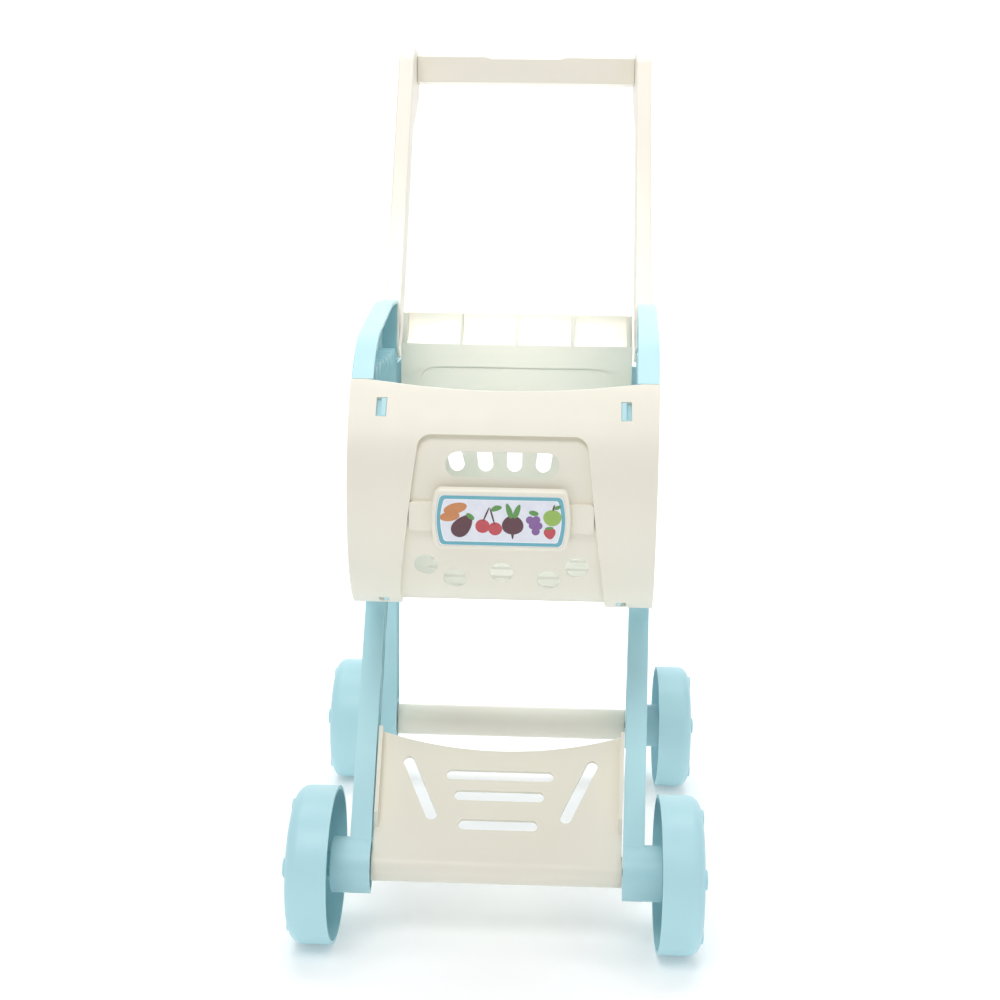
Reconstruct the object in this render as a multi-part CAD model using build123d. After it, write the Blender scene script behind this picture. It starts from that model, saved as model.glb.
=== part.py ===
from build123d import *
from math import asin, atan2, cos, degrees, hypot, radians, sin, tan
import os

# A child's push-along shopping cart, moulded in plastic and snapped together.
# Millimetres. +Z is up, +Y runs back to the handle, and +X is to the right of
# somebody who faces the cart's front. Lengths along Y are counted from the
# front axle until the finished pieces are moved to the frame's origin.

# Wheels and axles
WHEEL_R = 47.3
WHEELBASE = 300.0
WHEEL_WIDTH = 26.5
WHEEL_WALL = 2.2
WHEEL_SLOPE = 1.5
WHEEL_EDGE_R = 8.0
FRONT_RIM_OUT, REAR_RIM_OUT = 21.0, 39.0
AXLE_R = 2.5
HUB_TUBE_R = 7.5
HUB_SOCKET_R = 7.2
HUB_SOCKET_DEPTH = 8.0
CAP_R = 9.8
CAP_RISE = 3.0
CAP_SKIRT_WALL = 1.2
CAP_SKIRT_DEPTH = 3.5
CLIP_R = 5.2
CLIP_WIDTH = 2.4
AXLE_TIP = 0.8
AXLE_CHAMFER = 0.4
CLIP_EDGE_R = 1.0
SPOKES = 5
SPOKE_WALL = 1.8
SPOKE_INSET = 8.0
BUTTON_R = 6.0
BUTTON_RISE = 0.9
BUTTON_EDGE_R = 0.7
BUTTON_RING = 0.74

# Axle bosses on the side panels
BOSS_R = 16.7
BOSS_WALL = 2.4
BOSS_FLOOR = 3.0
BOSS_REACH = 2.0
SLEEVE_R = 5.5

# Side panels, which spread apart towards the handle
SPLAY = 2.9
FRONT_HALF = 76.5
PANEL_T = 12.9
SKIN = 2.0
FLANGE = 2.2
RIB = 1.8
PANEL_EDGE_R = 0.8
EAR_Z = 383.3
EAR_BACK = 320.0
EAR_CORNER_R = 14.0
CREST_Y, CREST_R = 200.0, 400.0
SHOULDER_Y, SHOULDER_DROP, SHOULDER_R = 34.0, 18.0, 115.0
LEG_FOOT_W, LEG_TOP_W = 25.0, 49.0
LEG_TOP_Y = 166.0
LEG_TOE_SHARE = 0.9
LEG_RIB_SHARES = (0.3, 0.55, 0.8)
POST_TOP_Y, POST_WAIST_W, FOOT_W = 268.0, 31.0, 50.0
FOOT_CORNER_R = 9.0
WAIST_RISE = 72.0
CROTCH_R = 14.0
SLOT_COUNT = 7
SLOT_W = 15.0
SLOT_PITCH = 31.0
SLOT_FIRST_Y = 42.0
SLOT_BEND_R = 190.0
SLOT_HALF = 50.0

# Basket front, a curved sheet that closes the front of the basket
FRONT_R = 81.5
BASKET_Y = 57.6
BASKET_RISE = 235.0
SHEET = 2.4
TOP_ANGLE = 48.6
BOTTOM_ANGLE = -83.0
EDGE_LAP = 0.4
SHEET_CORNER_R = 8.5
DIP = 5.5
DIP_HALF = 80.0
RECESS = 3.6
RECESS_TOP_HALF, RECESS_WAIST_HALF, RECESS_FOOT_HALF = 48.0, 54.5, 66.0
RECESS_TOP_ANGLE = 23.0
RECESS_WAIST_RISE = 212.0
RECESS_CORNER_R = 8.0
BAND_HALF, BAND_H, BAND_RISE = 53.0, 17.0, 2.8
BAND_CORNER_R = 2.0
BAND_ANGLE = -10.8
WINDOW_HALF, WINDOW_H, WINDOW_ANGLE = 32.5, 14.8, 11.2
HOLE_R = 6.8
HOLES = [(-44.3, 46.5), (-27.7, 56.0), (0.0, 51.0), (27.7, 56.0), (44.3, 46.5)]
CLASPS = [(6.1, 34.7, 12.5), (4.5, -66.0, 10.0)]
CLASP_W = 6.0

# Badge on the basket front
BADGE_HALF, BADGE_H, BADGE_THICK = 39.7, 36.0, 4.6
BADGE_END_BULGE = 2.2
BADGE_CORNER_R = 4.5
LABEL_MARGIN = 2.6
LABEL_T = 0.5
LABEL_SINK = 0.9

# Basket back and floor
BACK_Y = 258.0
BACK_OUT = 10.0
BACK_TOP_DROP = 9.0
BAND_TALL = 22.6
BAND_DEEP = 15.0
SCOOP = 4.0
BAND_LIP_DROP = 1.2
GUSSET_PITCH = 41.7
GUSSET_T = 2.4
BACK_LUG_TALL = 8.8
STOP_REACH = 4.5
BACK_RECESS_HALF, BACK_RECESS_DROP, BACK_RECESS = 72.0, 17.0, 0.9
FAN_COUNT, FAN_PITCH, FAN_W = 5, 21.0, 11.3
FAN_TURN = 8.0
FAN_LOW, FAN_HIGH = 256.0, 316.0
FLOOR_LAP = 6.8
FLOOR_SLOTS = 6
FLOOR_SLOT_W = 9.0
FLOOR_SLOT_HALF = 56.0

# Guard panel between the front legs
RACK_ANGLE = 41.0
ROLL_R = 9.2
RACK_SIDE, RACK_MIDDLE = 89.0, 76.5
RACK_GAP = 1.0
RACK_FLANGE = 7.0
RACK_SLOTS = [(59.0, 33.7), (44.6, 28.0), (24.6, 24.4)]
RACK_SLOT_W = 7.0
RACK_SLANTS = ((41.5, 30.5), (58.0, 67.7))

# Rear cross tube
TUBE_R = 12.0
TUBE_WALL = 2.4
PLUG = 3.0

# Handle
HANDLE_TOP = 582.0
HEAD_REACH = 48.1
LEAN = 24.7
UPRIGHT_Y = 271.5
UPRIGHT_INSET, UPRIGHT_W = 11.7, 11.8
UPRIGHT_DEPTH = 25.0
UPRIGHT_SUNK = 38.0
UPRIGHT_WALL = 2.2
HEAD_DROP = 34.0
HEAD_NECK = 62.0
UPRIGHT_CORNERS = [3.0, 22.0, 9.0, 11.0, 45.0, 3.0]
UPRIGHT_EDGE_R = 1.2
WEB_PITCH = 42.0
BAR_INSET = 24.5
BAR_TALL = 20.5
BAR_DEEP = 20.0
BAR_SINK = 4.5
BAR_NOTCH_HALF, BAR_NOTCH = 29.0, 1.4
BAR_EDGE_R = 0.8
TENON_Y, TENON_Z, TENON_REACH = 9.0, 10.0, 5.2

# Clearances
RUN = 0.05
HOLE_GAP = 0.1
SEAT = 0.3
END_PLAY = 0.5

# Worked out from the sizes above
FRONT_RIM_X, REAR_RIM_X = FRONT_HALF + FRONT_RIM_OUT, FRONT_HALF + REAR_RIM_OUT
BACK_HALF = FRONT_HALF + BACK_OUT
UPRIGHT_IN = FRONT_HALF + UPRIGHT_INSET
UPRIGHT_OUT = UPRIGHT_IN + UPRIGHT_W
AXLE_Z = WHEEL_R
BASKET_Z = AXLE_Z + BASKET_RISE
BASKET_FLOOR_Z = BASKET_Z - FRONT_R
SLOPE = tan(radians(SPLAY))
INNER_R = FRONT_R - SHEET
REACH = 400.0
LENGTHS = (-120.0, 480.0)
BACK_TOP = EAR_Z - BACK_TOP_DROP
BAND_FOOT = BACK_TOP - BAND_TALL
HANDLE_BACK = UPRIGHT_Y + (HANDLE_TOP - EAR_Z) * tan(radians(LEAN)) + HEAD_REACH
BAR_Y = HANDLE_BACK - BAR_INSET
ORIGIN_Y = (HANDLE_BACK - WHEEL_R) / 2


def inner_x(y, out=0.0):
    """Half-width between the side panels at y, measured out from their inner faces."""
    return FRONT_HALF + out / cos(radians(SPLAY)) + y * SLOPE


def slab(low, high):
    """Right-hand layer between two planes parallel to the side panel's inner face."""
    y0, y1 = LENGTHS
    plan = Polygon(
        (inner_x(y0, low), y0),
        (inner_x(y0, high), y0),
        (inner_x(y1, high), y1),
        (inner_x(y1, low), y1),
        align=None,
    )
    return extrude(plan, 2 * REACH, dir=(0, 0, 1))


def between(out):
    """Everything between the two side panels, reaching out past their inner faces."""
    y0, y1 = LENGTHS
    plan = Polygon(
        (-inner_x(y0, out), y0),
        (inner_x(y0, out), y0),
        (inner_x(y1, out), y1),
        (-inner_x(y1, out), y1),
        align=None,
    )
    return extrude(plan, 2 * REACH, dir=(0, 0, 1))


def across(side_view, x0=-REACH, x1=REACH):
    """Extrude a side view, drawn in (y, z), from x0 to x1."""
    return extrude(Plane.YZ.offset(x0) * side_view, x1 - x0, dir=(1, 0, 0))


def frontal(front_view, y0, y1):
    """Extrude a front view, drawn in (x, z), from y0 back to y1."""
    return extrude(Plane.XZ.offset(-y1) * front_view, y1 - y0, dir=(0, -1, 0))


def rod(radius, x0, x1, y, z):
    """Round bar along X."""
    return across(Pos(y, z) * Circle(radius), x0, x1)


def rounded(points, radii):
    """Closed outline with one corner radius for each point."""
    return make_face(FilletPolyline(*points, radius=radii, close=True))


def tapered(start, end, start_w, end_w):
    """Flat bar from start to end in a side view, with its two widths."""
    run, rise = end[0] - start[0], end[1] - start[1]
    length = hypot(run, rise)
    side_y, side_z = -rise / length, run / length
    corners = []
    for (y, z), half in ((start, start_w / 2), (end, end_w / 2)):
        corners.append((y + side_y * half, z + side_z * half))
        corners.append((y - side_y * half, z - side_z * half))
    first, second, fourth, third = corners
    return Polygon(first, second, third, fourth, align=None)


def on_front(angle, radius):
    """Point (y, z) on the basket's front curve, at an angle above straight ahead."""
    turn = radians(angle)
    return (BASKET_Y - radius * cos(turn), BASKET_Z + radius * sin(turn))


def front_plane(angle, radius=FRONT_R):
    """Plane that touches the basket's front curve, facing out."""
    turn = radians(angle)
    y, z = on_front(angle, radius)
    return Plane(origin=(0, y, z), x_dir=(1, 0, 0), z_dir=(0, -cos(turn), sin(turn)))


def ring_view(low_r, high_r, top, bottom):
    """Side view of part of a cylinder wall about the basket's front axis."""
    outer = CenterArc((BASKET_Y, BASKET_Z), high_r, 180 - top, top - bottom)
    inner = CenterArc((BASKET_Y, BASKET_Z), low_r, 180 - top, top - bottom)
    return make_face([outer, inner, Line(outer @ 0, inner @ 0), Line(outer @ 1, inner @ 1)])


def front_ring(low_r, high_r):
    """The same wall as a solid, over the angles that the front sheet covers."""
    return across(ring_view(low_r, high_r, TOP_ANGLE, BOTTOM_ANGLE))


def leg_angle():
    """Slope of the front leg, from the axle to the middle of its top."""
    return atan2(BASKET_FLOOR_Z - AXLE_Z, LEG_TOP_Y)


def side_outline():
    """Side view of a side panel: basket side, front leg, and rear post with its foot."""
    nose = CenterArc((BASKET_Y, BASKET_Z), FRONT_R, 180 - TOP_ANGLE, 90 + TOP_ANGLE)
    waist_z, heel_z = AXLE_Z + WAIST_RISE, AXLE_Z - BOSS_R
    turn, half = leg_angle(), LEG_FOOT_W / 2
    toe = (-BOSS_R * cos(turn), AXLE_Z - BOSS_R * sin(turn))
    offset_y, offset_z = half * sin(turn), half * cos(turn)
    corners = [
        (on_front(TOP_ANGLE, FRONT_R), 0),
        ((SHOULDER_Y, EAR_Z - SHOULDER_DROP), SHOULDER_R),
        ((CREST_Y, EAR_Z), CREST_R),
        ((EAR_BACK, EAR_Z), EAR_CORNER_R),
        ((EAR_BACK, BASKET_Z), 2 * EAR_BACK),
        ((WHEELBASE + POST_WAIST_W / 2, waist_z), FOOT_W),
        ((WHEELBASE + FOOT_W / 2, AXLE_Z), FOOT_CORNER_R),
        ((WHEELBASE + FOOT_W / 4, heel_z), FOOT_CORNER_R),
        ((WHEELBASE - FOOT_W / 4, heel_z), FOOT_CORNER_R),
        ((WHEELBASE - FOOT_W / 2, AXLE_Z), FOOT_CORNER_R),
        ((WHEELBASE - POST_WAIST_W / 2, waist_z), FOOT_W),
        ((POST_TOP_Y, BASKET_FLOOR_Z), CROTCH_R),
        ((LEG_TOP_Y + LEG_TOP_W / 2, BASKET_FLOOR_Z), CROTCH_R),
        ((toe[0] + offset_y, toe[1] - offset_z), half * LEG_TOE_SHARE),
        ((toe[0] - offset_y, toe[1] + offset_z), half * LEG_TOE_SHARE),
        ((LEG_TOP_Y - LEG_TOP_W / 2, BASKET_FLOOR_Z), CROTCH_R),
        ((BASKET_Y, BASKET_FLOOR_Z), 0),
    ]
    points = [point for point, _ in corners]
    rest = FilletPolyline(*points, radius=[radius for _, radius in corners[1:-1]])
    plain = make_face([nose] + rest.edges()) + Pos(0, AXLE_Z) * Circle(BOSS_R)
    lap = degrees(SEAT / FRONT_R)
    return plain - ring_view(INNER_R - SEAT, FRONT_R + SHEET, TOP_ANGLE + lap, BOTTOM_ANGLE - lap)


def side_slots(grow=0.0):
    """Row of bowed slots in the basket side."""
    half_turn = degrees(asin(SLOT_HALF / SLOT_BEND_R))
    slots = Sketch()
    for step in range(SLOT_COUNT):
        y = SLOT_FIRST_Y + SLOT_PITCH * step - SLOT_BEND_R
        bow = CenterArc((y, BASKET_Z + SLOT_W / 2), SLOT_BEND_R, -half_turn, 2 * half_turn)
        slots += SlotArc(bow, SLOT_W + 2 * grow)
    return slots


def side_ribs():
    """Ribs inside the front leg, the post and the foot."""
    post_middle = (POST_TOP_Y + EAR_BACK) / 2
    ribs = tapered((0, AXLE_Z), (LEG_TOP_Y, BASKET_FLOOR_Z), RIB, RIB)
    ribs += tapered((WHEELBASE, AXLE_Z), (post_middle, BASKET_FLOOR_Z + FLANGE), RIB, RIB)
    shelf_y = (BACK_Y + EAR_BACK) / 2
    for z in (BASKET_FLOOR_Z, (BASKET_FLOOR_Z + BASKET_Z) / 2, BASKET_Z, socket_floor()):
        ribs += Pos(shelf_y, z) * Rectangle(EAR_BACK - BACK_Y + 2 * FLANGE, RIB)
    ribs += Pos(BACK_Y - FLANGE, BASKET_Z) * Rectangle(RIB, 2 * REACH)
    for share in LEG_RIB_SHARES:
        y, z = share * LEG_TOP_Y, AXLE_Z + share * (BASKET_FLOOR_Z - AXLE_Z)
        ribs += Pos(y, z) * Rectangle(RIB, 2 * LEG_TOP_W)
    return ribs


def socket_floor():
    """Height of the rib that an upright stands on, inside the ear."""
    lean = radians(LEAN)
    return EAR_Z - UPRIGHT_SUNK * cos(lean) - UPRIGHT_DEPTH * sin(lean) - SEAT - RIB / 2


def side_panel():
    """Right-hand side panel, open towards the basket, with its two axle bosses."""
    outline = side_outline()
    hollow = offset(outline, -FLANGE) - side_ribs() - side_slots(FLANGE)
    panel = across(outline) & slab(0, PANEL_T)
    panel -= across(hollow) & slab(-PANEL_T, PANEL_T - SKIN)
    panel -= across(side_slots())
    panel = panel.fillet(PANEL_EDGE_R, panel.edges().filter_by(GeomType.LINE).group_by(Axis.Z)[-1])
    for y, rim in ((0, FRONT_RIM_X), (WHEELBASE, REAR_RIM_X)):
        end = rim + BOSS_REACH
        outside = slab(0, REACH)
        panel += rod(BOSS_R, 0, end, y, AXLE_Z) & outside
        panel -= rod(BOSS_R - BOSS_WALL, 0, end - BOSS_FLOOR, y, AXLE_Z)
        panel += rod(SLEEVE_R, 0, end, y, AXLE_Z) & outside
        panel -= rod(AXLE_R + HOLE_GAP, 0, REACH, y, AXLE_Z)
    for inset, angle, tall in CLASPS:
        panel += clasp(FRONT_HALF - inset, angle, tall)
    panel += back_stop()
    panel -= upright_envelope(SEAT)
    return panel


def back_stop():
    """Rib that closes the joint behind the back wall and takes the push on it."""
    low, high = BASKET_FLOOR_Z + FLANGE, socket_floor()
    front = BACK_Y + SHEET + SEAT
    view = Pos(front, low) * Rectangle(RIB, high - low, align=(Align.MIN, Align.MIN))
    return across(view) & slab(-STOP_REACH, PANEL_T - SKIN)


def clasp(x, angle, tall):
    """Snap hook that reaches in behind the front sheet and through its slot."""
    inner, width = x - CLASP_W / 2 + SEAT, CLASP_W - 2 * SEAT
    arm = Pos(inner, 0) * Rectangle(FRONT_HALF, tall - 2 * SEAT, align=(Align.MIN, Align.CENTER))
    hook = Pos(inner, 0) * Rectangle(width / 2, tall - 2 * SEAT, align=(Align.MIN, Align.CENTER))
    behind = INNER_R - SEAT
    plane = front_plane(angle, behind - SHEET)
    shape = extrude(plane * arm, SHEET, dir=plane.z_dir) & between(FLANGE)
    return shape + extrude(plane * hook, SHEET + 2 * SEAT + RIB, dir=plane.z_dir)


def recess_view():
    """Front view of the panel's recess, which widens towards the floor."""
    top = on_front(RECESS_TOP_ANGLE, FRONT_R)[1]
    waist = AXLE_Z + RECESS_WAIST_RISE
    foot = BASKET_FLOOR_Z - FRONT_R / 4
    right = [(RECESS_TOP_HALF, top), (RECESS_WAIST_HALF, waist), (RECESS_FOOT_HALF, foot)]
    left = [(-x, z) for x, z in reversed(right)]
    bend = 4 * RECESS_CORNER_R
    return rounded(right + left, [RECESS_CORNER_R, bend, 0, 0, bend, RECESS_CORNER_R])


def basket_front():
    """Curved cream sheet with a recess, a band behind the badge, and its openings."""
    sheet = front_ring(INNER_R, FRONT_R) & between(PANEL_T + EDGE_LAP)
    dip_r = (DIP_HALF**2 + DIP**2) / (2 * DIP)
    corner_z = on_front(TOP_ANGLE, FRONT_R)[1]
    middle = Pos(0, corner_z - DIP + dip_r) * Circle(dip_r)
    sheet -= frontal(middle, -FRONT_R, BASKET_Y)
    ends = sheet.edges().filter_by(lambda e: abs(e.length - SHEET) < SEAT)
    low = ends.filter_by(lambda e: e.center().Z < BASKET_Z)
    sheet = fillet(low, SHEET_CORNER_R)
    view = recess_view()
    zone = frontal(view, -FRONT_R, BASKET_Y)
    wide_zone = frontal(offset(view, SHEET), -FRONT_R, BASKET_Y)
    floor_r = FRONT_R - RECESS
    sheet += front_ring(floor_r - SHEET, INNER_R + SEAT) & wide_zone
    sheet -= front_ring(floor_r, FRONT_R + RECESS) & zone
    band_face = front_plane(BAND_ANGLE) * RectangleRounded(2 * BAND_HALF, BAND_H, BAND_CORNER_R)
    band = extrude(band_face, SHEET * 3, both=True)
    sheet += front_ring(floor_r - SEAT, floor_r + BAND_RISE) & band & wide_zone
    window = RectangleRounded(2 * WINDOW_HALF, WINDOW_H, WINDOW_H / 2 - SEAT)
    sheet -= extrude(front_plane(WINDOW_ANGLE) * window, RECESS * 4, both=True)
    for x, drop in HOLES:
        hole = Pos(x, BASKET_Z - drop) * Circle(HOLE_R)
        sheet -= frontal(hole, -FRONT_R, BASKET_Y)
    for inset, angle, tall in CLASPS:
        x = FRONT_HALF - inset
        for side in (-x, x):
            slot = Pos(side, 0) * Rectangle(CLASP_W, tall)
            sheet -= extrude(front_plane(angle) * slot, RECESS * 2, both=True)
    return sheet


def badge_view(grow=0.0):
    """Badge outline: a wide plate with bowed ends and rounded corners."""
    half, tall = BADGE_HALF + grow, BADGE_H / 2 + grow
    square = half - BADGE_END_BULGE
    right = ThreePointArc((square, -tall), (half, 0), (square, tall))
    left = ThreePointArc((-square, tall), (-half, 0), (-square, -tall))
    flat = [Line(right @ 1, left @ 0), Line(left @ 1, right @ 0)]
    face = make_face([right, left] + flat)
    return fillet(face.vertices(), BADGE_CORNER_R + grow)


def badge_parts():
    """Badge frame, shaped to the band behind it, and the printed label in it."""
    seat_r = FRONT_R - RECESS + BAND_RISE + SEAT
    face_plane = front_plane(BAND_ANGLE, FRONT_R + BADGE_THICK)
    block = extrude(face_plane * badge_view(), FRONT_R / 2, dir=-face_plane.z_dir)
    frame = block - rod(seat_r, -REACH, REACH, BASKET_Y, BASKET_Z)
    front = frame.faces().sort_by(Axis((0, 0, 0), face_plane.z_dir))[-1]
    frame = fillet(front.edges(), UPRIGHT_WALL / 2)
    tray = badge_view(-LABEL_MARGIN)
    frame -= extrude(face_plane * tray, LABEL_SINK, dir=-face_plane.z_dir)
    label_plane = front_plane(BAND_ANGLE, FRONT_R + BADGE_THICK - LABEL_SINK)
    label_face = label_plane * badge_view(-LABEL_MARGIN - HOLE_GAP)
    label = extrude(label_face, LABEL_T, dir=label_plane.z_dir)
    return frame, label


def basket_back():
    """Back wall of the basket, with a scooped band and gussets along its top."""
    slant = hypot(BAND_TALL, BAND_DEEP)
    out_y, out_z = BAND_TALL / slant, -BAND_DEEP / slant
    foot, head = (BACK_Y, BAND_FOOT), (BACK_Y + BAND_DEEP, BACK_TOP)
    half_y, half_z = (foot[0] + head[0]) / 2, (foot[1] + head[1]) / 2
    deep = SCOOP + SHEET
    front = ThreePointArc(foot, (half_y + SCOOP * out_y, half_z + SCOOP * out_z), head)
    low_back, high_back = (foot[0] + SHEET, foot[1] - BAND_LIP_DROP), (head[0] + SHEET, head[1])
    rear = ThreePointArc(low_back, (half_y + deep * out_y, half_z + deep * out_z), high_back)
    rim = Line(front @ 1, rear @ 1)
    bottom = BASKET_FLOOR_Z + FLANGE
    wall = Polyline(rear @ 0, (BACK_Y + SHEET, bottom), (BACK_Y, bottom), front @ 0)
    body = across(make_face([front, rim, rear] + wall.edges()), -BACK_HALF, BACK_HALF)
    gusset = make_face([front, Polyline(front @ 1, (BACK_Y + SHEET, BACK_TOP), front @ 0)])
    for place in (-2, -1, 0, 1, 2):
        x = max(-BACK_HALF, min(BACK_HALF - GUSSET_T, place * GUSSET_PITCH - GUSSET_T / 2))
        body += across(gusset, x, x + GUSSET_T)
    top = BAND_FOOT - BACK_RECESS_DROP
    tall = top - bottom - FLANGE
    hollow = Pos(0, top - tall / 2) * RectangleRounded(2 * BACK_RECESS_HALF, tall, FAN_W)
    body -= frontal(hollow, BACK_Y - SHEET, BACK_Y + BACK_RECESS)
    for step in range(FAN_COUNT):
        place = step - (FAN_COUNT - 1) / 2
        slot = SlotOverall(FAN_HIGH - FAN_LOW, FAN_W, rotation=90)
        lean = Rotation(0, 0, -FAN_TURN * place)
        lift = Pos(0, (FAN_HIGH - FAN_LOW) / 2)
        body -= frontal(Pos(FAN_PITCH * place, FAN_LOW) * lean * lift * slot, 0, 2 * BACK_Y)
    for z in (BASKET_Z + FRONT_R / 4, BASKET_Z - FRONT_R / 2):
        lug = Pos(BACK_Y + SHEET / 2, z) * Rectangle(SHEET, BACK_LUG_TALL)
        ends = across(lug) - across(lug, -BACK_HALF + SHEET, BACK_HALF - SHEET)
        body += ends & between(-SEAT)
    return body


def basket_floor():
    """Slotted floor that bridges the side panels."""
    front_y, back_y = BASKET_Y - FLOOR_LAP, BACK_Y - SEAT
    middle = BASKET_FLOOR_Z + FLANGE + SEAT + SHEET / 2
    side_view = Pos((front_y + back_y) / 2, middle) * Rectangle(back_y - front_y, SHEET)
    plate = across(side_view) & between(-SEAT)
    pitch = (back_y - front_y) / (FLOOR_SLOTS + 1)
    for step in range(1, FLOOR_SLOTS + 1):
        slot = SlotOverall(2 * FLOOR_SLOT_HALF, FLOOR_SLOT_W)
        plate -= extrude(Pos(0, front_y + step * pitch, 0) * slot, 2 * REACH)
    return plate


def rack_point(along, out):
    """Point (y, z) on the guard panel: along its slope, and out from the axle line."""
    turn = radians(RACK_ANGLE)
    return (along * cos(turn) - out * sin(turn), AXLE_Z + along * sin(turn) + out * cos(turn))


def front_rack_panel():
    """Guard panel that rolls round the front axle and slopes up between the front legs."""
    sheet_low = ROLL_R - SHEET
    strip = Polygon(
        rack_point(0, sheet_low), rack_point(0, ROLL_R),
        rack_point(RACK_SIDE, ROLL_R), rack_point(RACK_SIDE, sheet_low), align=None,
    )
    lip = Polygon(
        rack_point(ROLL_R * 2, sheet_low), rack_point(ROLL_R * 3, ROLL_R + RACK_FLANGE),
        rack_point(RACK_SIDE, ROLL_R + RACK_FLANGE), rack_point(RACK_SIDE, sheet_low), align=None,
    )
    panel = across(strip) & between(-RACK_GAP)
    panel += (across(lip) & between(-RACK_GAP)) - between(-RACK_GAP - SHEET)
    roll = rod(ROLL_R, -REACH, REACH, 0, AXLE_Z) - rod(sheet_low, -REACH, REACH, 0, AXLE_Z)
    panel += roll & between(-SEAT)
    plugs = rod(ROLL_R - SHEET / 2, -REACH, REACH, 0, AXLE_Z) & between(-SEAT)
    panel += plugs - between(-SEAT - PLUG)
    panel += rod(ROLL_R - SHEET / 2, -PLUG / 2, PLUG / 2, 0, AXLE_Z)
    panel -= rod(AXLE_R + HOLE_GAP, -REACH, REACH, 0, AXLE_Z)
    face = rack_point(0, ROLL_R)
    turn = radians(RACK_ANGLE)
    plane = Plane(origin=(0, *face), x_dir=(1, 0, 0), z_dir=(0, -sin(turn), cos(turn)))
    half = inner_x(0)
    sag_r = (half**2 + (RACK_SIDE - RACK_MIDDLE) ** 2) / (2 * (RACK_SIDE - RACK_MIDDLE))
    cuts = Pos(0, RACK_MIDDLE + sag_r) * Circle(sag_r)
    for along, slot_half in RACK_SLOTS:
        cuts += Pos(0, along) * SlotOverall(2 * slot_half, RACK_SLOT_W)
    low, high = RACK_SLANTS
    for side in (-1, 1):
        centre_line = Line((side * low[0], low[1]), (side * high[0], high[1]))
        cuts += SlotArc(centre_line.edge(), RACK_SLOT_W)
    return panel - extrude(plane * cuts, RACK_FLANGE, both=True)


def rear_cross_tube():
    """Tube between the side panels on the rear axle, plugged at both ends."""
    tube = rod(TUBE_R, -REACH, REACH, WHEELBASE, AXLE_Z) & between(-SEAT)
    bore = rod(TUBE_R - TUBE_WALL, -REACH, REACH, WHEELBASE, AXLE_Z) & between(-SEAT - PLUG)
    return tube - bore - rod(AXLE_R + HOLE_GAP, -REACH, REACH, WHEELBASE, AXLE_Z)


def on_upright(along, back):
    """Point (y, z) on an upright: up its front edge from the ear's top, and back from it."""
    lean = radians(LEAN)
    y = UPRIGHT_Y + along * sin(lean) + back * cos(lean)
    return (y, EAR_Z + along * cos(lean) - back * sin(lean))


def upright_view():
    """Side view of an upright: a leaning bar with a head that reaches back to the grip."""
    rise = (HANDLE_TOP - EAR_Z) / cos(radians(LEAN))
    neck = rise - HEAD_NECK
    points = [
        on_upright(-UPRIGHT_SUNK, 0),
        on_upright(rise, 0),
        (HANDLE_BACK, HANDLE_TOP),
        (HANDLE_BACK, HANDLE_TOP - HEAD_DROP),
        on_upright(neck, UPRIGHT_DEPTH),
        on_upright(-UPRIGHT_SUNK, UPRIGHT_DEPTH),
    ]
    return rounded(points, UPRIGHT_CORNERS)


def upright_envelope(grow):
    """Space that the right-hand upright fills, grown by a clearance."""
    return across(offset(upright_view(), grow), UPRIGHT_IN - grow, UPRIGHT_OUT + grow)


def bar_window(grow=0.0):
    """Side view of the grip's tenon or, grown, of its window in an upright."""
    middle = (BAR_Y + BAR_DEEP / 2, HANDLE_TOP - BAR_SINK - BAR_TALL / 2)
    return Pos(*middle) * Rectangle(TENON_Y + 2 * grow, TENON_Z + 2 * grow)


def handle_upright():
    """Right-hand upright, a channel that is open at the back and stiffened by webs."""
    view = upright_view()
    bar = upright_envelope(0)
    bar = fillet(bar.edges().filter_by(Plane.YZ), UPRIGHT_EDGE_R)
    hollow = view & (Pos(UPRIGHT_WALL, -UPRIGHT_WALL) * view)
    lean = Rotation(0, 0, -LEAN)
    count = int((HANDLE_TOP - EAR_Z) / WEB_PITCH)
    for step in range(-1, count + 1):
        y, z = on_upright(step * WEB_PITCH + WEB_PITCH / 3, UPRIGHT_DEPTH / 2)
        hollow -= Pos(y, z) * lean * Rectangle(3 * UPRIGHT_DEPTH, RIB)
    bar -= across(hollow, UPRIGHT_IN + UPRIGHT_WALL, UPRIGHT_OUT - UPRIGHT_WALL)
    return bar - across(bar_window(SEAT), 0, UPRIGHT_IN + UPRIGHT_WALL * 2)


def handle_crossbar():
    """Grip between the uprights: a channel open at the back, with a shallow dip on top."""
    half = UPRIGHT_IN - SEAT
    top = HANDLE_TOP - BAR_SINK
    low = top - BAR_TALL
    slant = BAR_NOTCH_HALF / 6
    view = Polygon(
        (-half, low), (half, low), (half, top),
        (BAR_NOTCH_HALF + slant, top), (BAR_NOTCH_HALF, top - BAR_NOTCH),
        (-BAR_NOTCH_HALF, top - BAR_NOTCH), (-BAR_NOTCH_HALF - slant, top), (-half, top),
        align=None,
    )
    bar = frontal(view, BAR_Y, BAR_Y + BAR_DEEP)
    front = bar.faces().sort_by(Axis.Y)[0]
    bar = fillet(front.edges().filter_by(Axis.X), BAR_EDGE_R)
    cell = Rectangle(2 * half - 2 * SHEET, BAR_TALL - 2 * SHEET - BAR_NOTCH)
    middle = low + (BAR_TALL - BAR_NOTCH) / 2
    hollow = frontal(Pos(0, middle) * cell, BAR_Y + SHEET, BAR_Y + REACH)
    web = Pos(BAR_Y, low) * Rectangle(REACH, REACH)
    for step in (-1, 0, 1):
        x = step * half / 2
        hollow -= across(web, x - RIB / 2, x + RIB / 2)
    bar -= hollow
    for side in (-1, 1):
        ends = sorted((side * (half - SHEET), side * (UPRIGHT_IN + TENON_REACH)))
        bar += across(bar_window(), *ends)
    return bar


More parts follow.
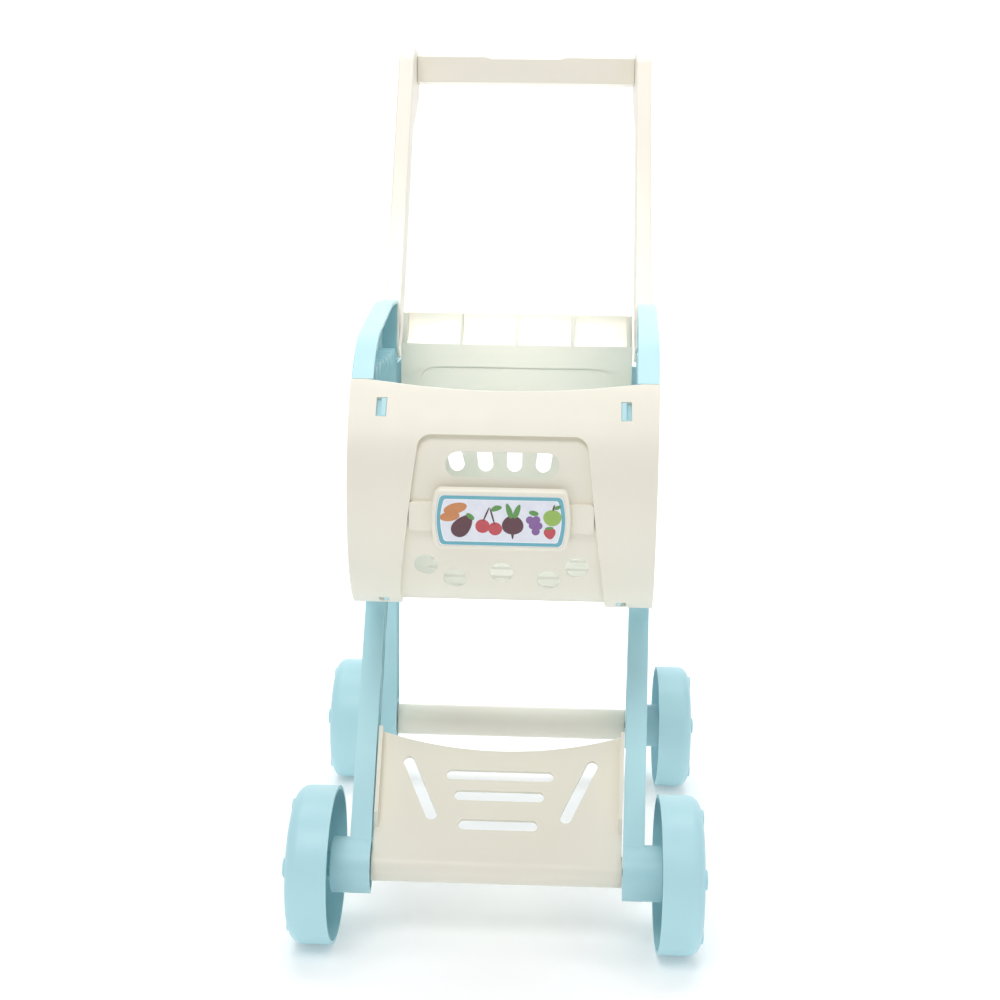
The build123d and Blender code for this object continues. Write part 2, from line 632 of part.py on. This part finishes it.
def wheel_profile(shrink):
    """Half section (along the axle, out from it) of the cup, or of its hollow."""
    width, radius = WHEEL_WIDTH - shrink, WHEEL_R - shrink
    rounding = WHEEL_EDGE_R - shrink
    outline = FilletPolyline(
        (0, 0), (0, radius), (width - WHEEL_SLOPE, radius), (width, CAP_R), (width, 0), (0, 0),
        radius=[0, 0, rounding, 0, 0],
    )
    return make_face(outline)


def turned(profile):
    """Turn a half section about the X axis."""
    return revolve(profile, Axis.X)


def collar(radius, start, end):
    """Round block about the X axis, from start to end along it."""
    return extrude(Plane.YZ.offset(start) * Circle(radius), end - start, dir=(1, 0, 0))


def wheel():
    """Right-hand wheel cup about the X axis, with its rim plane at x = 0."""
    hub_start = BOSS_REACH + END_PLAY
    seat = WHEEL_WIDTH - HUB_SOCKET_DEPTH
    body = turned(wheel_profile(0)) - turned(wheel_profile(WHEEL_WALL))
    inside = turned(wheel_profile(WHEEL_WALL / 2))
    button_top = WHEEL_WIDTH - WHEEL_SLOPE / 2 + BUTTON_RISE
    button = collar(BUTTON_R, WHEEL_WIDTH - WHEEL_WALL, button_top)
    button = fillet(button.edges().group_by(Axis.X)[-1], BUTTON_EDGE_R)
    wall = Pos(0, WHEEL_R / 2) * Rectangle(SPOKE_WALL, WHEEL_R)
    spoke = across(wall, SPOKE_INSET, WHEEL_WIDTH) & inside
    for step in range(SPOKES):
        turn = Rotation(360 * step / SPOKES, 0, 0)
        half_turn = Rotation(360 * (step + 0.5) / SPOKES, 0, 0)
        body += turn * Pos(0, 0, BUTTON_RING * WHEEL_R) * button
        body += half_turn * spoke
    body += collar(HUB_TUBE_R, hub_start, WHEEL_WIDTH - WHEEL_WALL)
    body += collar(CAP_R, seat - WHEEL_WALL, WHEEL_WIDTH)
    body -= collar(HUB_SOCKET_R, seat, WHEEL_WIDTH + 1)
    return body - collar(AXLE_R + RUN, -1, seat + 1)


def hub_cap():
    """Domed cap with a skirt that snaps into the wheel's socket."""
    rim, crown, centre = (WHEEL_WIDTH, CAP_R), (WHEEL_WIDTH + CAP_RISE, 0), (WHEEL_WIDTH, 0)
    curve = TangentArc(crown, rim, tangent=(0, 1))
    dome = turned(make_face([curve, Line(rim, centre), Line(centre, crown)]))
    skirt_r = HUB_SOCKET_R - HOLE_GAP
    skirt = collar(skirt_r, WHEEL_WIDTH - CAP_SKIRT_DEPTH, WHEEL_WIDTH)
    skirt -= collar(skirt_r - CAP_SKIRT_WALL, WHEEL_WIDTH - CAP_SKIRT_DEPTH - 1, WHEEL_WIDTH)
    return dome + skirt


def axle_clip():
    """Push-on clip that keeps a wheel on its axle."""
    start = WHEEL_WIDTH - HUB_SOCKET_DEPTH + SEAT
    ring = collar(CLIP_R, start, start + CLIP_WIDTH)
    ring = fillet(ring.edges().group_by(Axis.X)[-1], CLIP_EDGE_R)
    return ring - collar(AXLE_R + RUN / 2, start - 1, start + CLIP_WIDTH + 1)


def axle(rim, y):
    """Steel rod that carries a pair of wheels."""
    tip = rim + WHEEL_WIDTH - HUB_SOCKET_DEPTH + SEAT + CLIP_WIDTH + AXLE_TIP
    bar = rod(AXLE_R, -tip, tip, y, AXLE_Z)
    return chamfer(bar.edges().filter_by(GeomType.CIRCLE), AXLE_CHAMFER)


def pairs(name, right):
    """The right-hand piece and its mirror image, by node name."""
    return {name + "_right": right, name + "_left": mirror(right, about=Plane.YZ)}


def assembly():
    """Every piece by node name, with y counted from the front axle."""
    frame, label = badge_parts()
    pieces = {
        "basket_front": basket_front(),
        "basket_back": basket_back(),
        "basket_floor": basket_floor(),
        "badge_frame": frame,
        "badge_label": label,
        "front_rack_panel": front_rack_panel(),
        "rear_cross_tube": rear_cross_tube(),
        "handle_crossbar": handle_crossbar(),
        "front_axle": axle(FRONT_RIM_X, 0),
        "rear_axle": axle(REAR_RIM_X, WHEELBASE),
    }
    pieces.update(pairs("side_panel", side_panel()))
    pieces.update(pairs("handle_upright", handle_upright()))
    cup, cap, clip = wheel(), hub_cap(), axle_clip()
    for end, rim, y in (("front", FRONT_RIM_X, 0), ("rear", REAR_RIM_X, WHEELBASE)):
        place = Pos(rim, y, AXLE_Z)
        pieces.update(pairs("wheel_" + end, place * cup))
        pieces.update(pairs("hub_cap_" + end, place * cap))
        pieces.update(pairs("axle_clip_" + end, place * clip))
    return pieces


os.makedirs("parts", exist_ok=True)
for node, piece in assembly().items():
    export_step(Pos(0, -ORIGIN_Y, 0) * piece, "parts/" + node + ".step")
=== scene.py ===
import bmesh
import bpy
from math import cos, pi, radians, sin
from mathutils import Matrix, Vector


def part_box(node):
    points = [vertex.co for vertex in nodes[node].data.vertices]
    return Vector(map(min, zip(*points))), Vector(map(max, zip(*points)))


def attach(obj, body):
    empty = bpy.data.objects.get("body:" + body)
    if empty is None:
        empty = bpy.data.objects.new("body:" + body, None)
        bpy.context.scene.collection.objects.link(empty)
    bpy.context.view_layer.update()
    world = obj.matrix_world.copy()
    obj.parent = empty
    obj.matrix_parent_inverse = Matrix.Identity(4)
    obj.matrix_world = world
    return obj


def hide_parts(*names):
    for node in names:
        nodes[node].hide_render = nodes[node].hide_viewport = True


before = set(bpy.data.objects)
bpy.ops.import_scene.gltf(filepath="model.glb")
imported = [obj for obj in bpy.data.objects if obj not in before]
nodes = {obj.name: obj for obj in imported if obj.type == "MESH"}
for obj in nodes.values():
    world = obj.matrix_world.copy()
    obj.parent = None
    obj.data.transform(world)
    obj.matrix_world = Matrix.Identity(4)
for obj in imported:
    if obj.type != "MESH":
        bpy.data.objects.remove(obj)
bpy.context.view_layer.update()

# The camera stands just over a metre in front of the cart's middle and just above the
# top of the basket. It looks slightly down through a short portrait lens.
CAMERA_PLACE = Vector((0.0285, -1.0476, 0.4086))
CAMERA_YAW, CAMERA_PITCH, CAMERA_ROLL = radians(-1.99), radians(8.81), radians(0.96)
LENS_MM = 53.93

ahead = Vector((
    sin(CAMERA_YAW) * cos(CAMERA_PITCH),
    cos(CAMERA_YAW) * cos(CAMERA_PITCH),
    -sin(CAMERA_PITCH),
))
level = Vector((cos(CAMERA_YAW), -sin(CAMERA_YAW), 0))
rightward = (level * cos(CAMERA_ROLL) + level.cross(ahead) * sin(CAMERA_ROLL)).normalized()
upward = rightward.cross(ahead)
camera = bpy.data.objects.new("camera", bpy.data.cameras.new("camera"))
camera.data.lens = LENS_MM
camera.data.sensor_width = 36
turn = Matrix((rightward, upward, -ahead)).transposed()
camera.matrix_world = Matrix.Translation(CAMERA_PLACE) @ turn.to_4x4()
bpy.context.collection.objects.link(camera)
bpy.context.scene.camera = camera

# The studio: a sheet of white paper that sweeps up behind the cart, a large soft light
# above the camera, weaker ones over and beside the cart, a narrow one that reaches into
# the basket, and one for the paper alone.
bpy.context.scene.view_settings.view_transform = "Standard"
# Each lamp is (name, place, aim, width, spread in degrees, watts).
LAMPS = (
    ("key_light", (-0.25, -1.3, 1.75), (0, 0, 0.3), 1.0, 180, 12.5),
    ("side_light", (1.3, -0.6, 1.4), (0, 0, 0.3), 1.0, 180, 2.0),
    ("top_light", (0.0, 0.1, 1.9), (0, 0, 0.3), 1.4, 180, 2.6),
    ("basket_light", (0.0, -0.6, 1.0), (0, 0.13, 0.35), 0.15, 14, 0.05),
    ("paper_light", (0.0, 0.7, 2.5), (0, 2.3, 0.9), 2.4, 180, 42.0),
)
for name, place, aim, width, spread, power in LAMPS:
    lamp = bpy.data.lights.new(name, "AREA")
    lamp.shape = "DISK"
    lamp.size = width
    lamp.spread = radians(spread)
    lamp.energy = power
    holder = bpy.data.objects.new(name, lamp)
    holder.location = place
    holder.rotation_euler = (Vector(aim) - Vector(place)).to_track_quat("-Z", "Y").to_euler()
    holder.visible_camera = False
    bpy.context.collection.objects.link(holder)


def linear(hex_colour):
    """Turns an sRGB hex colour into the linear one that a shader takes."""
    parts = [int(hex_colour[i:i + 2], 16) / 255 for i in (1, 3, 5)]
    lit = [c / 12.92 if c < 0.04045 else ((c + 0.055) / 1.055) ** 2.4 for c in parts]
    return (*lit, 1.0)


def add(tree, kind, inputs=None, **settings):
    """Adds a shader node. An input is a value, or another node's output to link from."""
    new = tree.nodes.new(kind)
    for key, value in settings.items():
        setattr(new, key, value)
    for key, value in (inputs or {}).items():
        if isinstance(value, bpy.types.NodeSocket):
            tree.links.new(value, new.inputs[key])
        else:
            new.inputs[key].default_value = value
    return new


def emptied(name):
    """A new material with an empty node tree."""
    material = bpy.data.materials.new(name)
    material.use_nodes = True
    material.node_tree.nodes.clear()
    return material, material.node_tree


WORLD_STRENGTH = 0.42
world = bpy.data.worlds.new("white_surround")
world.use_nodes = True
world.node_tree.nodes.clear()
sky = add(world.node_tree, "ShaderNodeBackground", {
    "Color": linear("#FDFEFF"), "Strength": WORLD_STRENGTH,
})
add(world.node_tree, "ShaderNodeOutputWorld", {"Surface": sky.outputs[0]})
bpy.context.scene.world = world

PAPER_HALF, PAPER_FRONT, PAPER_BACK, COVE_R, PAPER_RISE = 6.0, -6.0, 1.5, 0.8, 2.4
COVE_STEPS = 24
PAPER_GLOW = 0.2
floor_shape = bmesh.new()
front_edge = bmesh.ops.create_vert(floor_shape, co=(-PAPER_HALF, PAPER_FRONT, 0))["vert"]
front_edge += bmesh.ops.create_vert(floor_shape, co=(PAPER_HALF, PAPER_FRONT, 0))["vert"]
edge = floor_shape.edges.new(front_edge)


def drawn_on(shape, edge, step):
    """Extrudes an edge by a step and returns the new edge."""
    grown = bmesh.ops.extrude_edge_only(shape, edges=[edge])["geom"]
    moved = [part for part in grown if isinstance(part, bmesh.types.BMVert)]
    bmesh.ops.translate(shape, verts=moved, vec=step)
    return next(part for part in grown if isinstance(part, bmesh.types.BMEdge)
                and set(part.verts) == set(moved))


edge = drawn_on(floor_shape, edge, (0, PAPER_BACK - PAPER_FRONT, 0))
cove = bmesh.ops.spin(
    floor_shape, geom=[edge], cent=(0, PAPER_BACK, COVE_R), axis=(1, 0, 0), dvec=(0, 0, 0),
    angle=pi / 2, steps=COVE_STEPS, use_merge=False, use_normal_flip=False, use_duplicate=False,
)["geom_last"]
edge = next(part for part in cove if isinstance(part, bmesh.types.BMEdge))
drawn_on(floor_shape, edge, (0, 0, PAPER_RISE))
bmesh.ops.recalc_face_normals(floor_shape, faces=floor_shape.faces)
floor_mesh = bpy.data.meshes.new("floor")
floor_shape.to_mesh(floor_mesh)
floor_shape.free()
floor_mesh.shade_smooth()
floor = bpy.data.objects.new("floor", floor_mesh)
bpy.context.collection.objects.link(floor)
paper, tree = emptied("matt_white_paper")
place = add(tree, "ShaderNodeTexCoord").outputs["Object"]
fibre = add(tree, "ShaderNodeTexNoise", {"Vector": place, "Scale": 3.0, "Detail": 2.0})
tone = add(tree, "ShaderNodeMix", {0: fibre.outputs[0], 6: linear("#F2F3F4"), 7: linear("#F5F6F6")},
           data_type="RGBA")
sheen = add(tree, "ShaderNodeBsdfPrincipled", {
    "Base Color": tone.outputs[2], "Roughness": 0.9,
    "Emission Color": linear("#FFFFFF"), "Emission Strength": PAPER_GLOW,
})
add(tree, "ShaderNodeOutputMaterial", {"Surface": sheen.outputs[0]})
floor_mesh.materials.append(paper)


# The two side panels are injection-moulded polypropylene in pale sky blue: a skin with
# a flange round it and ribs inside, all one shot. Each is the basket side, the front
# leg and the rear post in one, so the whole cart hangs on this pair.
BLUE, BLUE_DEEP = "#BAE3EB", "#B2DEE7"
PANEL_EDGE, OUTER_EDGE = 0.0006, 0.0016
SPLAY = radians(2.9)
GRAIN, GRAIN_DEPTH = 0.0012, 0.0002
CLOUD = 0.06
ALIGNED = 0.999
EDGE_STEPS, ROUND_STEPS = 2, 4
MERGE_DIST, FLAT_WITHIN = 0.000002, radians(0.6)
SHARPER_THAN, SHADED_SHARP_OVER = radians(35), radians(40)


def polypropylene(name, light, deep, roughness, glow):
    """Moulded polypropylene: satin and slightly milky, so light soaks into thin walls.

    Its colour drifts a little where the melt flowed, and the mould's spark-eroded
    grain, 0.2 mm in life, is drawn at 1.2 mm so that it shows.
    """
    material, tree = emptied(name)
    place = add(tree, "ShaderNodeTexCoord").outputs["Object"]
    flow = add(tree, "ShaderNodeTexNoise", {"Vector": place, "Scale": 1 / CLOUD, "Detail": 3.0})
    colour = add(tree, "ShaderNodeMix", {0: flow.outputs[0], 6: linear(light), 7: linear(deep)},
                 data_type="RGBA")
    handled = add(tree, "ShaderNodeTexNoise", {"Vector": place, "Scale": 3 / CLOUD, "Detail": 4.0})
    rough = add(tree, "ShaderNodeMapRange", {
        "Value": handled.outputs[0], "From Min": 0.3, "From Max": 0.7,
        "To Min": roughness - 0.05, "To Max": roughness + 0.06,
    })
    grain = add(tree, "ShaderNodeTexNoise", {"Vector": place, "Scale": 1 / GRAIN, "Detail": 1.0})
    relief = add(tree, "ShaderNodeBump", {
        "Height": grain.outputs[0], "Strength": 0.12, "Distance": GRAIN_DEPTH,
    })
    body = add(tree, "ShaderNodeBsdfPrincipled", {
        "Base Color": colour.outputs[2], "Roughness": rough.outputs[0], "IOR": 1.49,
        "Normal": relief.outputs[0], "Subsurface Weight": glow,
        "Subsurface Radius": (0.9, 1.0, 1.0), "Subsurface Scale": 0.003,
    })
    add(tree, "ShaderNodeOutputMaterial", {"Surface": body.outputs[0]})
    return material


def merged(node):
    """A CAD node's shape with its loose triangles joined and its flat faces made whole."""
    shape = bmesh.new()
    shape.from_mesh(nodes[node].data)
    bmesh.ops.remove_doubles(shape, verts=shape.verts, dist=MERGE_DIST)
    bmesh.ops.dissolve_limit(
        shape, angle_limit=FLAT_WITHIN, use_dissolve_boundaries=False,
        verts=shape.verts, edges=shape.edges, delimit=set(),
    )
    return shape


def finished(name, shape, material, body, slot, *replaced):
    """Makes the object of a piece, smooth with its corners kept, and rides it on its body."""
    mesh = bpy.data.meshes.new(name)
    shape.to_mesh(mesh)
    shape.free()
    mesh.shade_smooth()
    mesh.set_sharp_from_angle(angle=SHADED_SHARP_OVER)
    mesh.materials.append(material)
    piece = bpy.data.objects.new(name, mesh)
    bpy.context.collection.objects.link(piece)
    even = piece.modifiers.new("even shading", "WEIGHTED_NORMAL")
    even.keep_sharp = True
    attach(piece, body)
    if replaced:
        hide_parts(*replaced)
    return piece


def round_off(shape, width, segments, chosen=lambda edge: True):
    """Rounds the sharp edges that are chosen."""
    sharp = [e for e in shape.edges if len(e.link_faces) == 2
             and e.calc_face_angle(0) > SHARPER_THAN and chosen(e)]
    bmesh.ops.bevel(
        shape, geom=sharp, offset=width, offset_type="OFFSET", segments=segments, profile=0.5,
        affect="EDGES", clamp_overlap=True, material=-1,
    )


def softened(node, name, edge, material, body, slot):
    """A moulding with its CAD shape and the small rounding that a mould leaves on edges."""
    shape = merged(node)
    round_off(shape, edge, EDGE_STEPS)
    return finished(name, shape, material, body, slot, node)


blue = polypropylene("sky_blue_polypropylene", BLUE, BLUE_DEEP, 0.38, 0.12)
for side, sign in (("left", -1), ("right", 1)):
    outward = Vector((sign * cos(SPLAY), -sin(SPLAY), 0))
    shape = merged("side_panel_" + side)
    round_off(shape, OUTER_EDGE, ROUND_STEPS,
              lambda e: any(f.normal.dot(outward) > ALIGNED for f in e.link_faces))
    round_off(shape, PANEL_EDGE, EDGE_STEPS)
    finished("side_moulding_" + side, shape, blue, "cart_body", "sky_blue_plastic",
             "side_panel_" + side)

# The basket front is one thin ivory sheet, moulded over a curved core. Its recess,
# band and openings come from the mould, and four hooks of the side panels hold it
# by its slots.
IVORY, IVORY_DEEP = "#F0ECDF", "#ECE7D8"
SHEET_EDGE = 0.0008
ivory = polypropylene("ivory_polypropylene", IVORY, IVORY_DEEP, 0.40, 0.15)
FRONT_R, TOP_ANGLE = 0.0815, radians(48.6)
RECESS, RECESS_EDGE, RECESS_HALF, RECESS_SLACK = 0.0036, 0.0017, 0.0669, 0.0002
sheet_low, sheet_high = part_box("basket_front")
SHEET_AXIS = Vector((0, sheet_low.y + FRONT_R, sheet_high.z - FRONT_R * sin(TOP_ANGLE)))


def on_recess(edge):
    """True for the shoulder of the recess and for the fold at its foot."""
    middle = (edge.verts[0].co + edge.verts[1].co) / 2
    if abs(middle.x) > RECESS_HALF:
        return False
    reach = (middle - SHEET_AXIS).yz.length
    level = FRONT_R if edge.is_convex else FRONT_R - RECESS
    return abs(reach - level) < RECESS_SLACK


shape = merged("basket_front")
round_off(shape, RECESS_EDGE, ROUND_STEPS, on_recess)
round_off(shape, SHEET_EDGE, EDGE_STEPS)
finished("front_sheet", shape, ivory, "cart_body", "ivory_plastic", "basket_front")

# The basket back and floor are plain ivory mouldings that snap between the sides.
# The back's scooped band and its gussets stiffen the edge that a child leans on.
WALL_EDGE = 0.0005
softened("basket_back", "back_wall", WALL_EDGE, ivory, "cart_body", "ivory_plastic")
softened("basket_floor", "slotted_floor", WALL_EDGE, ivory, "cart_body", "ivory_plastic")

# The guard panel is an ivory sheet that rolls round the front axle and slopes back
# between the legs. The rear tube is a plain ivory extrusion over the rear axle.
softened("front_rack_panel", "guard_panel", WALL_EDGE, ivory, "cart_body", "ivory_plastic")
softened("rear_cross_tube", "rear_tube", WALL_EDGE, ivory, "cart_body", "ivory_plastic")

# The handle is two channel mouldings and a channel grip in a warmer ivory, pushed
# into the ears of the side panels and snapped together at the top.
WARM_IVORY, WARM_DEEP = "#F4EEE2", "#EFE8DA"
HANDLE_EDGE = 0.0006
warm = polypropylene("warm_ivory_polypropylene", WARM_IVORY, WARM_DEEP, 0.36, 0.12)
for side in ("left", "right"):
    softened("handle_upright_" + side, "upright_" + side, HANDLE_EDGE, warm,
             "cart_body", "ivory_handle_plastic")
softened("handle_crossbar", "grip", HANDLE_EDGE, warm, "cart_body", "ivory_handle_plastic")

# Each wheel is a blue cup with five ribs inside and five low buttons outside. A domed
# cap, pushed in from the outside, hides the clip that keeps the wheel on its rod.
WHEEL_EDGE = 0.0006
for end in ("front", "rear"):
    for side in ("left", "right"):
        turning = f"{end}_{side}_wheel"
        softened(f"wheel_{end}_{side}", f"wheel_cup_{end}_{side}", WHEEL_EDGE, blue,
                 turning, "sky_blue_plastic")
        softened(f"hub_cap_{end}_{side}", f"hub_dome_{end}_{side}", WHEEL_EDGE / 2, blue,
                 turning, "sky_blue_plastic")

# The two axles are drawn steel rods with bright zinc plate, fixed in the side panels'
# bosses. The push-on clips at their ends are plated in the same way.
# The marks of drawing, under 0.1 mm wide in life, are spaced 1500 to the metre to show.
ALONG_ROD, ROUND_ROD = 40.0, 1500.0
zinc, tree = emptied("bright_zinc_plate")
place = add(tree, "ShaderNodeTexCoord").outputs["Object"]
drawn = add(tree, "ShaderNodeMapping", {"Vector": place, "Scale": (ALONG_ROD, ROUND_ROD, ROUND_ROD)})
streak = add(tree, "ShaderNodeTexNoise", {"Vector": drawn.outputs[0], "Scale": 1.0, "Detail": 2.0})
rough = add(tree, "ShaderNodeMapRange", {
    "Value": streak.outputs[0], "To Min": 0.24, "To Max": 0.42,
})
metal = add(tree, "ShaderNodeBsdfPrincipled", {
    "Base Color": linear("#C9CBCE"), "Metallic": 1.0, "Roughness": rough.outputs[0],
})
add(tree, "ShaderNodeOutputMaterial", {"Surface": metal.outputs[0]})
for node in nodes:
    if node.endswith("_axle") or node.startswith("axle_clip"):
        nodes[node].data.materials.clear()
        nodes[node].data.materials.append(zinc)

# The badge is an ivory plate on the band, and its label is printed film: a teal
# border round a pale field, with a row of plain fruit and vegetables and no words.
BADGE_TILT, BADGE_EDGE = radians(-10.8), 0.0004
softened("badge_frame", "badge_plate", BADGE_EDGE, ivory, "cart_body", "ivory_plastic")

label_low, label_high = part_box("badge_label")
LABEL_MIDDLE = (label_low + label_high) / 2
LABEL_FACE = Vector((0, -cos(BADGE_TILT), sin(BADGE_TILT)))
LABEL_UP = Vector((0, sin(BADGE_TILT), cos(BADGE_TILT)))
LABEL_T = 0.0005
INK_PATCHES = 220.0


def film(name, low, high):
    """Printed vinyl film under a clear gloss coat; the ink is a little uneven."""
    material, tree = emptied(name)
    place = add(tree, "ShaderNodeTexCoord").outputs["Object"]
    ink = add(tree, "ShaderNodeTexNoise", {"Vector": place, "Scale": INK_PATCHES, "Detail": 3.0})
    colour = add(tree, "ShaderNodeMix", {0: ink.outputs[0], 6: linear(low), 7: linear(high)},
                 data_type="RGBA")
    gloss = add(tree, "ShaderNodeBsdfPrincipled", {
        "Base Color": colour.outputs[2], "Roughness": 0.22, "Coat Weight": 0.6,
        "Coat Roughness": 0.08,
    })
    add(tree, "ShaderNodeOutputMaterial", {"Surface": gloss.outputs[0]})
    return material


LABEL_WIDE, LABEL_TALL = label_high.x - label_low.x, 0.0306
LABEL_CORNER, LEAST_CORNER, LABEL_BOW = 0.0024, 0.001, 0.0022
BORDER_IN, LINE_IN, FIELD_IN = 0.0004, 0.0025, 0.0029
CORNER_STEPS, BOW_CUTS, BLOT_SIDES = 6, 9, 36
across = Vector((1, 0, 0))
onto = Matrix((across, LABEL_UP, LABEL_FACE)).transposed().to_4x4()
on_label = Matrix.Translation(LABEL_MIDDLE + LABEL_FACE * LABEL_T / 2) @ onto
INK_T = 0.00003


def plate(name, margin, thickness, material):
    """A printed layer with the label's own outline, rounded corners and bowed ends."""
    wide, tall = LABEL_WIDE / 2 - LABEL_BOW - margin, LABEL_TALL / 2 - margin
    shape = bmesh.new()
    bmesh.ops.create_grid(shape, x_segments=1, y_segments=1, size=1)
    bmesh.ops.scale(shape, verts=shape.verts, vec=(wide, tall, 1))
    bmesh.ops.bevel(shape, geom=shape.verts, offset=max(LABEL_CORNER - margin / 2, LEAST_CORNER),
                    segments=CORNER_STEPS, profile=0.5, affect="VERTICES", material=-1)
    ends = [e for e in shape.edges if abs(e.verts[0].co.x - e.verts[1].co.x) < 1e-6]
    bmesh.ops.subdivide_edges(shape, edges=ends, cuts=BOW_CUTS)
    for vert in shape.verts:
        vert.co.x *= 1 + LABEL_BOW / wide * (1 - (vert.co.y / tall) ** 2)
    top = bmesh.ops.extrude_face_region(shape, geom=shape.faces[:])["geom"]
    lifted = [part for part in top if isinstance(part, bmesh.types.BMVert)]
    bmesh.ops.translate(shape, verts=lifted, vec=(0, 0, thickness))
    bmesh.ops.recalc_face_normals(shape, faces=shape.faces)
    bmesh.ops.transform(shape, matrix=on_label, verts=shape.verts)
    return finished(name, shape, material, "cart_body", "printed_label")


nodes["badge_label"].data.materials.clear()
nodes["badge_label"].data.materials.append(film("white_label_film", "#F3F3F8", "#FAFAFC"))
plate("label_border", BORDER_IN, INK_T, film("teal_label_ink", "#5FA9BA", "#69B2C2"))
plate("label_line", LINE_IN, 2 * INK_T, film("pale_label_ink", "#F6F7FA", "#FCFCFE"))
plate("label_field", FIELD_IN, 3 * INK_T, film("lilac_label_ink", "#DADDEA", "#EEF0F7"))

PLUM, RED, LEAF, GRAPE, CRUST, APPLE = range(6)
INKS = (
    ("plum_ink", "#4E1F2C", "#592635"), ("berry_ink", "#B93A45", "#C6464F"),
    ("leaf_ink", "#4F8A3C", "#5C9848"), ("grape_ink", "#7C4F93", "#885C9F"),
    ("crust_ink", "#C47B42", "#D08A50"), ("apple_ink", "#8DB04A", "#9ABD57"),
)
# Each blot is (ink, x, y, half width, half height, taper, turn, layer) in millimetres
# and degrees on the label: loaves, aubergine, cherries, beetroot, grapes, apple, berry.
BLOTS = (
    (CRUST, -24.5, 6.0, 6.4, 3.0, 0.0, 16, 1), (CRUST, -27.5, 1.4, 5.4, 2.7, 0.0, 10, 2),
    (PLUM, -20.5, -3.6, 4.6, 7.4, 0.30, -38, 3), (LEAF, -16.4, 1.6, 2.6, 1.3, 0.0, -38, 4),
    (RED, -9.8, -3.8, 3.9, 3.9, 0.0, 0, 1), (RED, -3.0, -5.2, 3.7, 3.7, 0.0, 0, 2),
    (PLUM, -7.9, 3.0, 0.45, 4.4, 0.0, -22, 3), (PLUM, -4.6, 2.0, 0.45, 5.0, 0.0, 16, 3),
    (LEAF, -2.6, 6.6, 3.0, 1.5, 0.3, 20, 4),
    (PLUM, 6.4, -2.8, 5.8, 5.4, 0.10, 0, 1), (PLUM, 6.4, -8.6, 0.7, 2.4, -0.4, 0, 2),
    (LEAF, 4.4, 5.2, 1.5, 4.4, 0.2, 18, 2), (LEAF, 8.6, 5.0, 1.5, 4.2, 0.2, -20, 3),
    (GRAPE, 15.6, 0.2, 2.2, 2.2, 0.0, 0, 1), (GRAPE, 19.0, 0.4, 2.2, 2.2, 0.0, 0, 2),
    (GRAPE, 17.2, -2.8, 2.2, 2.2, 0.0, 0, 3), (GRAPE, 20.2, -3.0, 2.2, 2.2, 0.0, 0, 1),
    (GRAPE, 18.8, -6.2, 2.2, 2.2, 0.0, 0, 2), (LEAF, 17.6, 4.2, 2.6, 1.4, 0.0, -12, 4),
    (APPLE, 27.6, 1.6, 4.9, 4.6, -0.08, 0, 1), (PLUM, 28.2, 7.4, 0.5, 1.8, 0.0, -14, 3),
    (LEAF, 30.2, 7.6, 2.0, 1.0, 0.0, 24, 4), (RED, 26.4, -7.2, 3.1, 3.3, -0.28, 8, 2),
    (LEAF, 26.0, -4.2, 2.2, 0.8, 0.0, 8, 4),
)
PICTURE_LIFT, PICTURE_SCALE = 0.8, 1.06
LAYERS_BELOW = 4
MM = 0.001
picture = bmesh.new()
for ink, x, y, wide, tall, taper, lean, layer in BLOTS:
    disc = bmesh.ops.create_circle(picture, cap_ends=True, segments=BLOT_SIDES, radius=1)["verts"]
    for vert in disc:
        vert.co.x *= wide * (1 - taper * vert.co.y)
        vert.co.y *= tall
    blot = disc[0].link_faces[0]
    top = bmesh.ops.extrude_face_region(picture, geom=[blot])["geom"]
    lifted = [part for part in top if isinstance(part, bmesh.types.BMVert)]
    bmesh.ops.translate(picture, verts=lifted, vec=(0, 0, (layer + LAYERS_BELOW) * INK_T / MM))
    whole = disc + lifted
    leant = Matrix.Rotation(radians(lean), 3, "Z")
    bmesh.ops.rotate(picture, verts=whole, cent=(0, 0, 0), matrix=leant)
    bmesh.ops.translate(picture, verts=whole, vec=(x, y + PICTURE_LIFT, 0))
    for vert in whole:
        for face in vert.link_faces:
            face.material_index = ink
bmesh.ops.recalc_face_normals(picture, faces=picture.faces)
bmesh.ops.scale(picture, vec=(PICTURE_SCALE, PICTURE_SCALE, 1), verts=picture.verts)
bmesh.ops.transform(picture, matrix=on_label @ Matrix.Scale(MM, 4), verts=picture.verts)
picture_piece = finished("label_picture", picture, film(*INKS[0]), "cart_body", "printed_label")
for name, low, high in INKS[1:]:
    picture_piece.data.materials.append(film(name, low, high))
